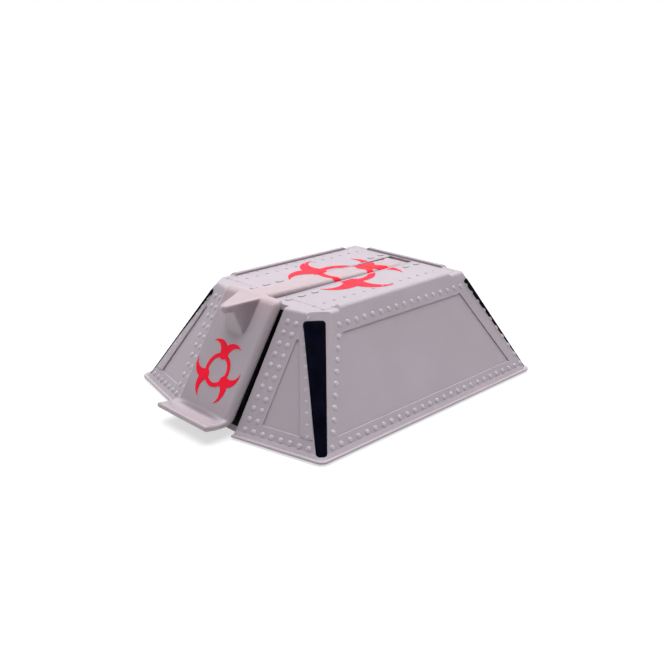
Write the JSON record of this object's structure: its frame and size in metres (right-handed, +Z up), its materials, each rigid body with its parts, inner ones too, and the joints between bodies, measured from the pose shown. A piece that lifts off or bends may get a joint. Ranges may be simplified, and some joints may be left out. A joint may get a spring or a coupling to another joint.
{
  "type": "sharps container",
  "caption": "Low sharps container: leaning riveted walls, shallow prow, black corner bars, and a hinged L-shaped lid arm over a front window with a one-way flap.",
  "frame": {"origin": "on the floor, under the middle of the overall width and length", "axes": "+Y towards the hinge at the rear, +Z up"},
  "size_m": [0.159, 0.2086, 0.0666],
  "materials": {
    "casing_grey": "fine satin moulding, grey with a mauve tint",
    "arm_plastic": "satin, slightly translucent pinkish white",
    "black_gloss": "glossy black moulding",
    "black_matte": "matte black moulding",
    "hazard_red": "satin red",
    "steel": "drawn and bright",
    "rubber": "matte black",
    "washer_plastic": "natural white"
  },
  "bodies": {
    "casing": {"arm_channel": "black_matte", "base_plate": "casing_grey", "base_screws": "steel", "channel_rivets": "casing_grey", "corner_bar_front_left": "black_gloss", "corner_bar_front_right": "black_gloss", "corner_bar_rear_left": "black_gloss", "corner_bar_rear_right": "black_gloss", "deck_hazard_inlay_left": "hazard_red", "deck_hazard_inlay_right": "hazard_red", "deck_panel_left": "casing_grey", "deck_panel_right": "casing_grey", "flap_pin": "steel", "flap_spring": "steel", "foot_front_left": "rubber", "foot_front_right": "rubber", "foot_rear_left": "rubber", "foot_rear_right": "rubber", "gate_seal": "rubber", "hinge_pin": "steel", "hinge_washers": "washer_plastic", "inner_bin": "black_gloss", "outer_shell": "casing_grey", "window_frame": "black_matte"},
    "lid": {"lid_arm": "arm_plastic", "gate_hazard_inlay": "hazard_red", "bar_hazard_inlay": "hazard_red"},
    "flap": {"intake_flap": "black_matte"}
  },
  "joints": [
    {"name": "lid_hinge", "type": "hinge", "parent": "casing", "child": "lid", "pos_m": [0, 0.06369, 0.0583], "axis": [-1, 0, 0], "range_deg": [-1.6, 86]},
    {"name": "flap_hinge", "type": "hinge", "parent": "casing", "child": "flap", "pos_m": [0, -0.0481, 0.0473], "axis": [1, 0, 0], "range_deg": [0, 60], "stiffness_Nm_per_rad": 0.004, "springref_deg": -28.65}
  ]
}
